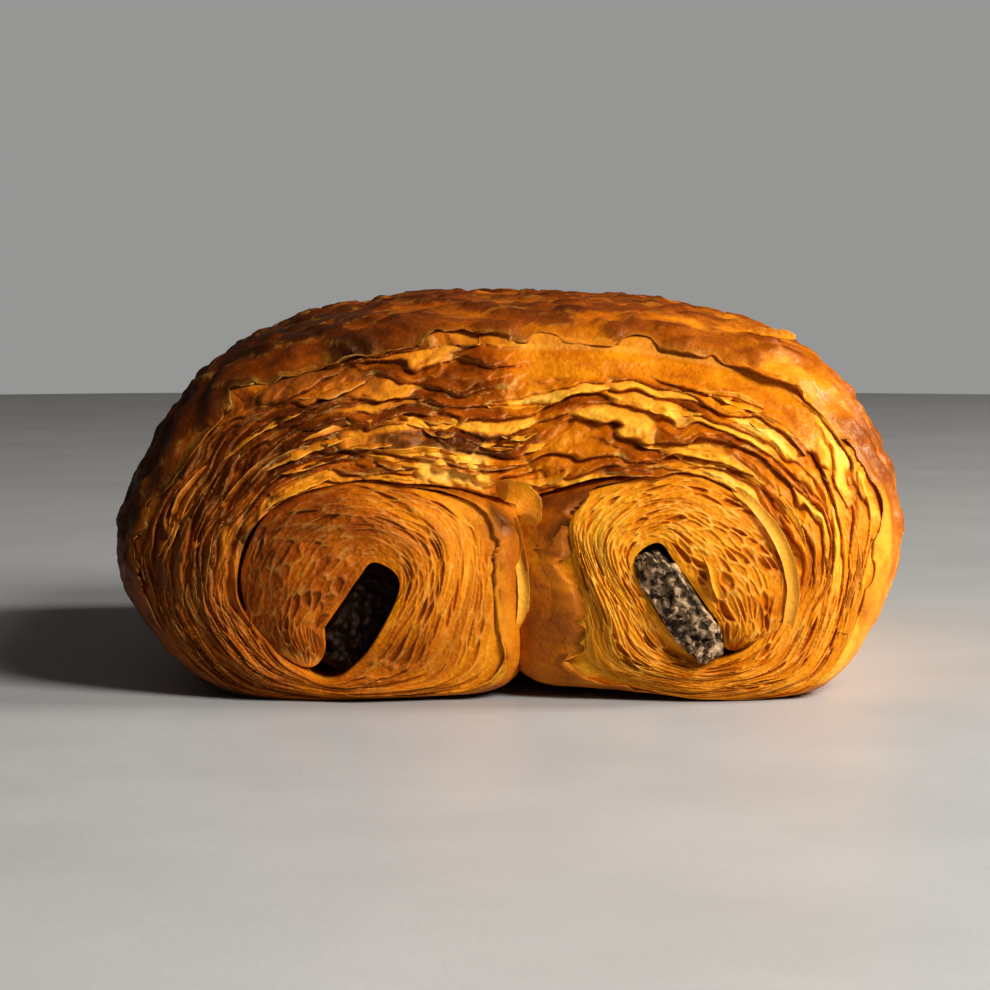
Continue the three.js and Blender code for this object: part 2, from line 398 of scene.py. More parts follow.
class Sheet:
    """The dough as one rolled sheet, in millimetres.

    Attributes:
        plane: how far from the middle the planes lie that the cut ends' setbacks are counted from.
        rounding: how far behind a cut edge the skin has puffed out to its full size.
        crease_rounding: the same where the two rolls press on one another.
        dome: how far a cut end stands out between its two edges.
    """

    foremost = 1.4  # how far behind its plane the foremost point of a cut end lies
    rounding = 15.0
    crease_rounding = 3.5
    dome = 1.1
    blunt = 1.2  # stations over which the tips are rounded off
    stops = 6001  # stations in the table of ways walked
    lanes = 33  # lines across the sheet in that table

    def __init__(self, low: Vector, high: Vector) -> None:
        """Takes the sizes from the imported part's box, whose corners are low and high in metres."""
        half_width = (high.x - low.x) / 2 / MM
        height = (high.z - low.z) / MM
        self.plane = (high.y - low.y) / 2 / MM + self.foremost
        right = [np.array(s[:3], float) for s in [*RIGHT_ROLL, CROWN]]
        left = [np.array(s[:3], float) * (-1, 1) for s in reversed(LEFT_ROLL)]
        lines = np.array([*right, *left]) * (half_width / 100, height / 100)
        setbacks = [s.setback for s in [*RIGHT_ROLL, CROWN, *reversed(LEFT_ROLL)]]
        self._table = np.concatenate([lines.reshape(len(lines), 6), np.array(setbacks, float)], axis=1)
        self._dense = np.linspace(0, LAST, self.stops)
        inner, rim = self.line(Line.INNER, self._dense), self.line(Line.CUT, self._dense)
        share = np.linspace(0, 1, self.lanes)[:, None]
        lines = inner[:, None] + (rim - inner)[:, None] * share
        hops = np.linalg.norm(np.diff(lines, axis=0, prepend=lines[:1]), axis=-1)
        self._lanes = np.cumsum(hops, axis=0)
        self._walked = self._lanes[:, self.lanes // 2]

    def line(self, which: Line, u: np.ndarray) -> np.ndarray:
        """x and z of one of the sheet's lines at the stations u.

        In the oven the turns have swollen against one another and against the sticks: the lines stand out
        by up to 1.3 mm where one turn lies inside another. Only beside the tip of the left-hand roll has a
        gap stayed open. Both tips are rounded off by a quarter of an ellipse and have sunk inwards, and
        under the crease the lines rise off the table.

        Args:
            which: the line.
            u: stations.

        Returns:
            Points in the section.
        """
        table = through(self._table, u)
        inner, rim, skin = table[..., 0:2], table[..., 2:4], table[..., 4:6]
        out = unit(rim - inner)
        tip = from_tip(u)
        pressed = 0.7 * window(u, 0.7, 5.0, 0.5) + 0.65 * window(LAST - u, 2.5, 5.0, 0.5)
        bulge = 0.55 * window(tip, 0.5, 3.3, 0.5) + 0.6 * window(tip, 5.6, 8.4, 0.5)
        bulge = bulge + 0.75 * window(tip, 9.4, 13.2, 0.6) * (1 - 0.4 * window(u, 15, 18.6, 0.6))
        bulge = bulge + 1.3 * window(tip, 8.5, 9.7, 0.5)
        crease = 1.0 * window(u, 4.9, 7.1, 0.5) + 0.3 * window(LAST - u, 4.9, 7.1, 0.5)
        inner = inner - out * bulge[..., None]
        rim = rim + out * pressed[..., None]
        skin = skin + out * (pressed + crease)[..., None]
        arch = window(tip, 6.5, 7.7, 0.45) * np.where(u < LAST / 2, 1.0, 0.7)
        rim[..., 1] += 1.1 * arch
        skin[..., 1] += 1.9 * arch
        share = np.clip(tip / self.blunt, 1e-4, 1)
        fuller = np.sqrt(1 - (1 - share) ** 2) / share
        middle = (inner + rim) / 2
        inwards = np.where(u < LAST / 2, -1.2, 1.2) * np.clip(1 - tip, 0, 1) ** 2
        fallen = np.stack([inwards, -np.abs(inwards)], axis=-1)
        found = {Line.INNER: inner, Line.CUT: rim, Line.SKIN: skin}[which]
        return middle + (found - middle) * fuller[..., None] + fallen

    def setback(self, which: Line, u: np.ndarray) -> np.ndarray:
        """How far the inner or the cut line lies behind the plane of its end."""
        return through(self._table, u)[..., 6 + min(which.value, 1)]

    def walked(self, u: np.ndarray) -> np.ndarray:
        """The way walked along the middle of the sheet from the first tip to the stations u."""
        return np.interp(u, self._dense, self._walked)

    def lane(self, u: np.ndarray, t: np.ndarray) -> np.ndarray:
        """The way walked from the first tip to the stations u on the line a share t across the sheet.

        Args:
            u: stations.
            t: shares, 0 on the inner line and 1 on the cut line.

        Returns:
            Millimetres, read between the four nearest places of a table.
        """
        i, j = u / LAST * (len(self._lanes) - 1), t * (self._lanes.shape[1] - 1)
        i0 = np.clip(np.floor(i).astype(int), 0, len(self._lanes) - 2)
        j0 = np.clip(np.floor(j).astype(int), 0, self._lanes.shape[1] - 2)
        fi, fj = i - i0, j - j0
        low = self._lanes[i0, j0] * (1 - fj) + self._lanes[i0, j0 + 1] * fj
        high = self._lanes[i0 + 1, j0] * (1 - fj) + self._lanes[i0 + 1, j0 + 1] * fj
        return low * (1 - fi) + high * fi

    def walk(self, first: float, last: float, step: float) -> np.ndarray:
        """The stations that lie about step apart between two stations, both of them included."""
        start, stop = self.walked(np.array([first, last]))
        count = max(3, round((stop - start) / step) + 1)
        return np.interp(np.linspace(start, stop, count), self._walked, self._dense)

    def skin(self, u: np.ndarray, y: np.ndarray, inset: np.ndarray | float = 0.0) -> np.ndarray:
        """The outer face of the sheet at mid length and where it rounds off to the cut ends.

        Behind a cut edge it grows from the cut line to the skin line by a quarter of an ellipse,
        sqrt(1 - (1 - d / rounding)^2), where d is the way behind the edge.

        Args:
            u: stations, with an axis of 1 for y where they are crossed with it.
            y: places along the length.
            inset: how far below the surface.

        Returns:
            Points, with a last axis for x, y and z.
        """
        u, y = np.broadcast_arrays(u, y)
        rim, full = self.line(Line.CUT, u), self.line(Line.SKIN, u)
        crease = window(from_tip(u), 4.6, 7.6, 0.8)
        rounding = self.rounding + (self.crease_rounding - self.rounding) * crease
        behind = (self.plane - self.setback(Line.CUT, u) - np.abs(y)) / rounding
        puff = np.sqrt(1 - (1 - np.clip(behind, 0, 1)) ** 2)
        xz = rim + (full - rim) * puff[..., None]
        xz = xz - unit(rim - self.line(Line.INNER, u)) * np.broadcast_to(inset, u.shape)[..., None]
        return np.stack([xz[..., 0], y, xz[..., 1]], axis=-1)


# ---------------------------------------------------------------- the cut ends


def terraced(u: np.ndarray) -> np.ndarray:
    """1 where the layers of a cut end lie like shingles over the rolls, and 0 on the rolls themselves."""
    return smoothstep(9.2, 11.4, from_tip(u))


class Spot(NamedTuple):
    """Places on a cut end.

    Attributes:
        u: their stations.
        t: their shares of the way across, from 0 at the inner line to 1 at the cut line.
        s: the way walked to them along the layers, in mm.
        thick: how thick the sheet is there, in mm.
        x: where they lie along X, in mm.
    """

    u: np.ndarray
    t: np.ndarray
    s: np.ndarray
    thick: np.ndarray
    x: np.ndarray


class Relief(NamedTuple):
    """How far a surface stands forward, in mm, and how it looks, from 0 to 1.

    Attributes:
        forward: how far it stands forward.
        browning_and_shade: how browned it is; towards the left of the front end it also carries painted
            shade, and over the rolls towards the right painted light.
        edge: how much of a pale cut edge shows.
        hollow_shade: how much painted shade it has where it is shut in.
        gloss: how glossy it is.
    """

    forward: np.ndarray
    browning_and_shade: np.ndarray
    edge: np.ndarray
    hollow_shade: np.ndarray
    gloss: np.ndarray

    def blended(self, other: "Relief", share: np.ndarray) -> "Relief":
        """This relief, with a share of the other one in its place."""
        return Relief(*(mine * (1 - share) + theirs * share for mine, theirs in zip(self, other)))


@dataclass(frozen=True)
class CutEnd:
    """One cut end of the rolled sheet, where its layers show.

    Attributes:
        sheet: the rolled sheet.
        side: which of the two ends it is.
        seed: sets its irregularity.
        bare: from where to where along X the outermost layer has left the one below it bare.
        layers: how many layers show across the sheet in the rolls.
        shingles: how many show over them.
        places: the number of places across the sheet in a row.
        step: the distance between rows along the sheet.
        walls: how deep the walls behind the cut are followed.
        lowest: how far above the table the dough inside the crust begins.
    """

    sheet: Sheet
    side: Side
    seed: int
    bare: tuple[float, float]
    layers: int = 14
    shingles: int = 9
    places: int = 116
    step: float = 0.17
    walls: tuple[float, ...] = (0.25, 0.7, 1.6, 4.0, 8.0, 14.0)
    lowest: float = 0.05

    def _grain(self, offset: int) -> Grain:
        """A grain of this end's own."""
        return Grain(self.seed * 101 + offset)

    def spot(self, u: np.ndarray, t: np.ndarray) -> Spot:
        """The places at the stations u and shares t across."""
        u, t = np.broadcast_arrays(u, t)
        inner, rim = self.sheet.line(Line.INNER, u), self.sheet.line(Line.CUT, u)
        thick = np.linalg.norm(rim - inner, axis=-1)
        return Spot(u, t, self.sheet.lane(u, t), thick, inner[..., 0] + (rim - inner)[..., 0] * t)

    def face(self, spot: Spot, forward: np.ndarray) -> np.ndarray:
        """Points on the cut end.

        The face runs straight from the setback of the inner line to that of the cut line, with a dome of
        4t(1 - t) on it.

        Args:
            spot: the places.
            forward: how far each one stands out of the smooth face.

        Returns:
            Points, with a last axis for x, y and z.
        """
        inner, rim = self.sheet.line(Line.INNER, spot.u), self.sheet.line(Line.CUT, spot.u)
        back = [self.sheet.setback(which, spot.u) for which in (Line.INNER, Line.CUT)]
        dome = self.sheet.dome * 4 * spot.t * (1 - spot.t) * np.minimum(1, spot.thick / 5)
        y = self.sheet.plane - (back[0] + (back[1] - back[0]) * spot.t) + dome + forward
        xz = inner + (rim - inner) * spot.t[..., None]
        return np.stack([xz[..., 0], y * self.side.value, xz[..., 1]], axis=-1)

    def stretch(self, name: str, first: float, last: float) -> bpy.types.Object:
        """Makes the cut end between two stations.

        Rows run along the sheet. The columns of a row come up the outer wall, cross the layers from the
        outermost one to the innermost, and go back along the inner wall. The outer wall is buried in the
        crust, deeper the further it is from the cut, save on a roll's first turn, which has no crust.

        Args:
            name: the piece's name.
            first, last: the stations it runs between.

        Returns:
            The closed piece.
        """
        u = self.sheet.walk(first, last, self.step)[:, None]
        spot = self.spot(u, np.linspace(1, 0, self.places))
        relief = self.relief(spot)
        face = self.face(spot, relief.forward)
        depth = np.array(self.walls)
        outer_y = face[:, :1, 1] - depth * self.side.value
        buried = (0.12 + 0.58 * smoothstep(0.0, 2.2, depth)) * smoothstep(3.6, 4.6, from_tip(u))
        outer = self.sheet.skin(u, outer_y, buried)
        inside = np.repeat(face[:, -1:], len(depth), axis=1)
        inside[..., 1] -= depth * self.side.value
        grid = np.concatenate([outer[:, ::-1], face, inside], axis=1)
        grid[..., 2] = np.maximum(grid[..., 2], self.lowest)
        # Deeper into the walls each look goes over to these two values, for the outer and the inner wall; the
        # pair for being shut in is painted shade, strongest on the wall round the stick.
        walls = {"browning_and_shade": (0.5, 0.35), "edge": (0.1, 0.1), "hollow_shade": (0.2, 0.5), "gloss": (0.4, 0.2)}
        values = {}
        for key, ends in walls.items():
            shown = np.clip(getattr(relief, key), 0, 1)
            away = np.minimum(1, depth / 1.5)
            before = shown[:, :1] * (1 - away[::-1]) + ends[0] * away[::-1]
            after = shown[:, -1:] * (1 - away) + ends[1] * away
            values[key] = np.concatenate([before, shown, after], axis=1)
        return closed_mesh(name, grid, values)

    def relief(self, spot: Spot) -> Relief:
        """The relief of the layers: cells on the rolls and shingles over them.

        The way along the layers is counted from the nearer tip on the rolls and from the crown over them,
        so that what lies side by side in neighbouring layers stays side by side. Here and below, noise of
        s / 9 has a period of 9 mm, and the number in front of a noise is its height.

        Args:
            spot: the places, with the way counted from the first tip.

        Returns:
            The relief, with the marks that this end has of its own.
        """
        crown, whole = (self.sheet.lane(np.full_like(spot.t, u), spot.t) for u in (LAST / 2, LAST))
        tips = spot._replace(s=np.where(spot.u < LAST / 2, spot.s, spot.s - whole))
        over = spot._replace(s=spot.s - crown)
        rolls, terrace = self._worn(tips, self._celled(tips)), self._worn(over, self._shingled(over))
        found = rolls.blended(terrace, terraced(spot.u))
        return self._marked(spot, found) if self.side is Side.FRONT else found

    def _worn(self, spot: Spot, found: Relief) -> Relief:
        """Adds broad swellings and fine unevenness to a relief.

        Args:
            spot: the places.
            found: the relief without them.

        Returns:
            The relief with them.
        """
        s, t, thick = spot.s, spot.t, spot.thick
        swell = 0.55 * self._grain(31).rough(s / 9, t * thick / 9, 2)
        fine = 0.1 * self._grain(32).rough(s / 1.0, t * thick / 0.6, 3)
        return found._replace(forward=found.forward + np.minimum(1, thick / 4) * (swell + fine))

    def _celled(self, spot: Spot) -> Relief:
        """The open crumb of the rolls: cells drawn out along the layers, with thin pale walls.

        A cell is about 2 mm long and one layer high. Its floor is sunk by smoothstep() of its border, deeper
        for some cells than others. Smaller cells lie over them. The dough round the stick and under the
        crust is smooth, and the left-hand roll is smoother than the right-hand one.

        Args:
            spot: the places.

        Returns:
            The relief.
        """
        s, t = spot.s, spot.t
        a = s / 2.0 + 0.45 * self._grain(2).smooth(s / 4.5, t * 4)
        b = t * self.layers + 0.95 * self._grain(3).rough(s / 5.5, t * 4.5, 2)
        cell = self._grain(4).cells(a, b, 0.95)
        pit = smoothstep(0.03, 0.42, cell.border)
        opened = smoothstep(-0.45, 0.25, self._grain(5).rough(s / 6.5, t * 2.2, 2))
        deep = smoothstep(0.45, 0.95, cell.share) * opened
        rim = smoothstep(0.14, 0.03, t)
        amount = np.minimum(1, spot.thick / self.layers / 0.5) * (1 - 0.9 * rim)
        amount = amount * (1 - 0.35 * smoothstep(LAST - 9, LAST - 7, spot.u))
        amount = amount * (1 - 0.8 * smoothstep(0.92, 0.99, t))
        small = self._grain(6).cells(s / 0.95, t * spot.thick / 0.42)
        forward = -(0.05 + 0.2 * opened + 0.55 * deep) * pit
        forward = forward - 0.07 * smoothstep(0.03, 0.4, small.border)
        broken = smoothstep(-0.5, 0.5, self._grain(7).smooth(s / 1.8, t * 11))
        wall = (1 - smoothstep(0.03, 0.26, cell.border)) * broken
        browning_and_shade = 0.46 - 0.13 * window(spot.x, 4, 13, 3) + 0.16 * self._grain(8).rough(s / 12, t * 1.6, 3)
        browning_and_shade = browning_and_shade + 0.14 * (cell.share - 0.5) - 0.08 * rim
        return Relief(
            forward=forward * amount,
            browning_and_shade=browning_and_shade,
            edge=0.62 * wall * amount,
            # Painted shade in the pits of the cells, darkest in the deep ones.
            hollow_shade=pit * (0.1 + 0.22 * opened + 0.5 * deep) * amount,
            gloss=0.2 + 0.25 * rim + 0.2 * self._grain(9).smooth(s / 3, t * 6),
        )

    def _shingled(self, spot: Spot) -> Relief:
        """The layers over the rolls, which lie like long torn shingles and run into one another.

        A shingle is a cell about 8 mm long. Its face comes forward from its outer side to its inner one,
        which hangs over the next shingle in. Thinner leaves, made the same way, lie over them.

        Args:
            spot: the places.

        Returns:
            The relief.
        """
        s, t = spot.s, spot.t
        a = s / 8.0 + 0.35 * self._grain(11).smooth(s / 7, t * 5)
        b = t * self.shingles + 1.3 * self._grain(12).smooth(s / 13, t * 2.5)
        b = b + 0.62 * self._grain(13).rough(s / 4.0, t * 6, 2)
        cell = self._grain(14).cells(a, b, 0.75)
        leaf = self._grain(15).cells(s / 3.4, b * 2.0, 0.85)
        stand = 0.9 + 0.55 * self._grain(16).smooth(s / 6, t * 5)
        forward = -1.25 * stand * cell.over * smoothstep(0.0, 0.09, cell.border)
        forward = forward + 0.4 * smoothstep(0.0, 0.5, cell.border)
        forward = forward - 0.3 * leaf.over * smoothstep(0.0, 0.15, leaf.border)
        forward = forward + 0.42 * self._grain(17).rough(s / 2.1, b * 1.4, 3)
        lip = (1 - smoothstep(0.03, 0.15, cell.border)) * smoothstep(0.1, -0.3, cell.over)
        thin = (1 - smoothstep(0.02, 0.14, leaf.border)) * smoothstep(0.1, -0.3, leaf.over)
        # under marks the painted shade below each shingle's overhanging lip.
        under = (1 - smoothstep(0.04, 0.4, cell.border)) * smoothstep(0.0, 0.35, cell.over)
        pale = smoothstep(0.6, 0.7, cell.share) * smoothstep(0.02, 0.3, cell.border)
        brown = smoothstep(0.42, 0.32, cell.share)
        blotch = self._grain(18).rough(s / 8, t * 4, 3)
        browning_and_shade = 0.6 - 0.36 * pale + 0.14 * brown + 0.3 * blotch + 0.14 * (leaf.share - 0.5)
        # Painted light: the shingles grow lighter towards the right, the side that faces the light.
        browning_and_shade = browning_and_shade - 0.09 * smoothstep(8, 28, spot.x)
        broken = 0.5 + 0.5 * self._grain(23).smooth(s / 2.2, t * 9)
        found = Relief(
            forward=forward * np.minimum(1, spot.thick / self.shingles / 0.7),
            browning_and_shade=browning_and_shade,
            edge=np.maximum(0.9 * lip, 0.35 * thin) * broken + 0.2 * pale,
            hollow_shade=0.8 * under,
            gloss=0.5 + 0.5 * brown + 0.5 * blotch,
        )
        return found.blended(*self._bared(spot))

    def _bared(self, spot: Spot) -> tuple[Relief, np.ndarray]:
        """The golden band that the outermost layer has left bare: a smooth skin with shallow ribs.

        Args:
            spot: the places.

        Returns:
            Its relief, and how much of it shows at each place.
        """
        s, t = spot.s, spot.t
        ragged = 0.05 * self._grain(19).smooth(s / 6, 0.5)
        shown = window(spot.x, *self.bare, 3.5) * smoothstep(0.7, 0.8, t + ragged)
        ribs = 0.22 * self._grain(20).rough(s / 8, t * 6, 3) + 0.12 * self._grain(21).rough(s / 1.6, t * 3, 2)
        browning_and_shade = 0.54 + 0.2 * self._grain(22).rough(s / 5, t * 8, 3)
        edge = 0.25 * window(t, 0.955, 1.0, 0.012)
        return Relief(ribs, browning_and_shade, edge, hollow_shade=0 * t, gloss=0.75 + 0 * t), shown

    def _marked(self, spot: Spot, found: Relief) -> Relief:
        """The marks of the front end.

        They are a bubbly film and a streak of burnt sugar over the left-hand roll, its pale torn tip, and
        colour that grows darker towards the left, most of all on the outer layers and on the tongue of the
        left-hand roll: partly deeper browning and partly painted shade of the side turned away from the
        light.

        Args:
            spot: the places.
            found: the relief without them.

        Returns:
            The relief with them.
        """
        u, t, s, x = spot.u, spot.t, spot.s, spot.x
        s = s - self.sheet.lane(np.full_like(t, LAST / 2), t)
        ragged = 1.2 * self._grain(41).rough(x / 2.2, t * 8, 3)
        film = window(x + ragged, -9.6, -2.4, 1.0) * window(t, 0.03, 0.27, 0.04) * terraced(u)
        bubble = self._grain(42).cells(s / 1.9, t * spot.thick / 1.5)
        dome = smoothstep(0.6, 0.1, bubble.near)
        burnt = window(x, -14.0, -0.6, 1.5) * window(t, 0.26, 0.41, 0.03) * terraced(u)
        burnt = burnt * (0.7 + 0.3 * self._grain(43).smooth(s / 1.5, t * 20))
        tip = smoothstep(LAST - 0.5, LAST - 0.1, u + 0.25 * self._grain(44).rough(s / 1.2, t * 3, 2))
        # left, outer and tongue darken the colour and dim the pale edges towards the left: partly deeper
        # browning, partly painted shade of the side turned from the light.
        left = smoothstep(-1, -30, x)
        outer = smoothstep(0.45, 0.85, t) * smoothstep(-4, -14, x) * terraced(u)
        pale = np.maximum(film * (0.95 - 0.75 * dome), 0.8 * tip)
        tongue = smoothstep(LAST - 4.8, LAST - 3.4, u)
        browning_and_shade = found.browning_and_shade * (1 - film) + 0.22 * film + 0.85 * burnt - 0.3 * tip + 0.1 * tongue
        edge = found.edge * (1 - 0.5 * left) * (1 - burnt) * (1 - 0.6 * outer) * (1 - film)
        return Relief(
            forward=found.forward * (1 - 0.85 * film) + film * (0.9 * dome + 0.4),
            browning_and_shade=browning_and_shade + 0.07 * smoothstep(0, -8, x) + left * (0.24 + 0.06 * terraced(u)) + 0.24 * outer,
            edge=np.maximum(edge, pale),
            hollow_shade=found.hollow_shade * (1 - film),
            gloss=np.maximum(found.gloss, np.maximum(burnt, 0.7 * film)),
        )


@dataclass(frozen=True)
class Flakes:
    """Thin loose flakes that stand off the layers of a cut end.

    Attributes:
        end: the cut end.
        seed: sets their places and outlines.
        count: how many there are.
        length, width: from the smallest to the largest, in mm.
        thickness: of a flake, in mm.
        points: how many there are along a flake and across it.
    """

    end: CutEnd
    seed: int
    count: int = 44
    length: tuple[float, float] = (3.0, 11.0)
    width: tuple[float, float] = (0.35, 0.95)
    thickness: float = 0.12
    points: tuple[int, int] = (17, 5)

    def build(self, name: str) -> bpy.types.Object:
        """Makes all the flakes as one piece.

        A flake is a strip along the layers. Its width dies away to its tips as (1 - p^2)^0.7 with p from
        -1 to 1, torn by noise, and it bends forward with the square of the way across. A second strip
        behind the first one closes it.

        Args:
            name: the piece's name.

        Returns:
            The piece.
        """
        draw = np.random.default_rng(self.seed)
        size = (self.count, 1, 1)
        p = np.linspace(-1, 1, self.points[0])[None, :, None]
        q = np.linspace(0, 1, self.points[1])[None, None, :]
        length, width = draw.uniform(*self.length, size), draw.uniform(*self.width, size)
        u0, t0 = draw.uniform(9.9, LAST - 9.9, size), draw.uniform(0.04, 0.86, size)
        curl, stands = draw.uniform(0.1, 0.5, size), draw.uniform(0.0, 0.2, size)
        down = np.where(draw.uniform(size=size) < 0.7, -1.0, 1.0)
        grain = Grain(self.seed + 3)
        lane = np.arange(self.count).reshape(size) * 7.7
        near = self.end.spot(u0, t0)
        walked = self.end.sheet.lane(np.minimum(u0 + 0.01, LAST), t0) - near.s
        u = np.clip(u0 + p * length / 2 * 0.01 / np.maximum(walked, 0.02), FOOT, LAST - FOOT)
        torn = 1 + 0.35 * grain.rough(p * length / 1.6 + lane, lane + 0.3, 3)
        span = width * (1 - p**2) ** 0.7 * torn
        drift = 0.25 * grain.smooth(p * 1.2 + lane, 0.5) / near.thick
        t = np.clip(t0 + drift + down * q * span / near.thick, 0.01, 0.99)
        base = self.end.spot(u, np.broadcast_to(t[..., :1], u.shape))
        forward = self.end.relief(base).forward + stands + curl * q**2 * (1 - p**2) ** 0.5
        forward = forward + 0.08 * grain.smooth(p * length / 1.3 + lane, q * 2 + lane)
        spot = self.end.spot(np.broadcast_to(u, t.shape), t)
        front = self.end.face(spot, forward)
        behind = self.end.face(spot, forward - self.thickness)
        grid = np.concatenate([front, behind[:, :, ::-1]], axis=2)
        rows, cols = grid.shape[1:3]
        middles = np.stack([grid[:, 0].mean(axis=1), grid[:, -1].mean(axis=1)], axis=1)
        points = np.concatenate([grid.reshape(self.count, -1, 3), middles], axis=1)
        quads, fans = tube_faces(points, rows, cols)
        shift = np.arange(self.count)[:, None, None] * points.shape[1]
        faces = [(quads + shift).reshape(-1, 4), (fans + shift).reshape(-1, 3)]
        brown = draw.uniform(0.25, 0.8, size)
        rim = np.abs(q * np.ones_like(p)) ** 3

        def stored(value: np.ndarray) -> np.ndarray:
            """A value over the strip, on both of its sides and at its tips."""
            value = np.broadcast_to(value, front.shape[:3])
            both = np.concatenate([value, value[:, :, ::-1]], axis=2).reshape(self.count, -1)
            return np.concatenate([both, value[:, 0, :1], value[:, -1, :1]], axis=1).ravel()

        # Flakes further left are darker, partly browning and partly painted shade; each flake also gets
        # painted shade along the side where it leaves the layers.
        values = {
            "browning_and_shade": stored(brown + 0.25 * smoothstep(2, -18, near.x) - 0.1 * q),
            "edge": stored(0.45 * rim),
            "hollow_shade": stored(0.25 * (1 - q)),
            "gloss": stored(0.5 + 0 * q),
        }
        return mesh_object(name, points.reshape(-1, 3), faces, values)


@dataclass(frozen=True)
class Strip:
    """A thin strip of dough that has peeled up along its path.

    Attributes:
        path: points along its middle: x, how far it lies in front of the middle of the pastry, and z, in mm.
        width: its width in the middle, in mm.
        turned: degrees that it is turned out of the face at its start and at its end.
        browning_and_shade: how browned it is.
        edge: how much of a pale cut edge it shows.
        seed: sets its irregularity.
        thickness: in mm.
        rows, around: how many points there are along the strip and round it.
    """

    path: tuple[tuple[float, float, float], ...]
    width: float
    turned: tuple[float, float]
    browning_and_shade: float
    edge: float
    seed: int
    thickness: float = 0.2
    rows: int = 120
    around: int = 24

    def build(self, name: str) -> bpy.types.Object:
        """Makes the strip.

        Its section is a flattened ring, wide across the path and thin along its own normal, which turns
        from the first angle to the last. The width dies away at both ends as (1 - p^6)^0.5, with p from -1
        to 1, and wanders with the noise.

        Args:
            name: the piece's name.

        Returns:
            The closed piece.
        """
        p = np.linspace(-0.995, 0.995, self.rows)
        points = np.array(self.path)
        middle = through(points, (p + 1) / 2 * (len(points) - 1))
        middle[:, 1] *= -1
        grain = Grain(self.seed)
        forward = np.array([0.0, -1.0, 0.0])
        along = unit(np.gradient(middle, axis=0))
        flat = unit(np.cross(along, forward))
        angle = np.radians(np.linspace(*self.turned, self.rows))[:, None]
        across = flat * np.cos(angle) + forward * np.sin(angle)
        normal = np.cross(across, along)
        ring = np.linspace(0, 2 * math.pi, self.around, endpoint=False)
        reach = self.width / 2 * (1 - p**6) ** 0.5
        uneven = 1 + 0.3 * grain.rough(p[:, None] * 2.2, np.sign(np.cos(ring)) * 5 + 0.3, 3)
        side = reach[:, None] * uneven * np.cos(ring)
        cup = 0.4 * (side / self.width * 2) ** 2 + 0.12 * grain.smooth(p[:, None] * 2.5, side * 0.8)
        up = self.thickness / 2 * np.sin(ring) * (1 - p[:, None] ** 6) ** 0.5 + cup
        grid = middle[:, None] + across[:, None] * side[..., None] + normal[:, None] * up[..., None]
        shade = grain.rough(p[:, None] * 3, side, 2)
        values = {
            "browning_and_shade": np.clip(self.browning_and_shade + 0.14 * shade, 0, 1),
            "edge": np.clip(self.edge * (0.7 + 0.4 * np.abs(np.cos(ring)) ** 4) + 0.2 * shade, 0, 1),
            "hollow_shade": 0 * side,
            "gloss": 0.5 + 0.3 * shade,
        }
        return closed_mesh(name, grid, values)


# ---------------------------------------------------------------- the crust


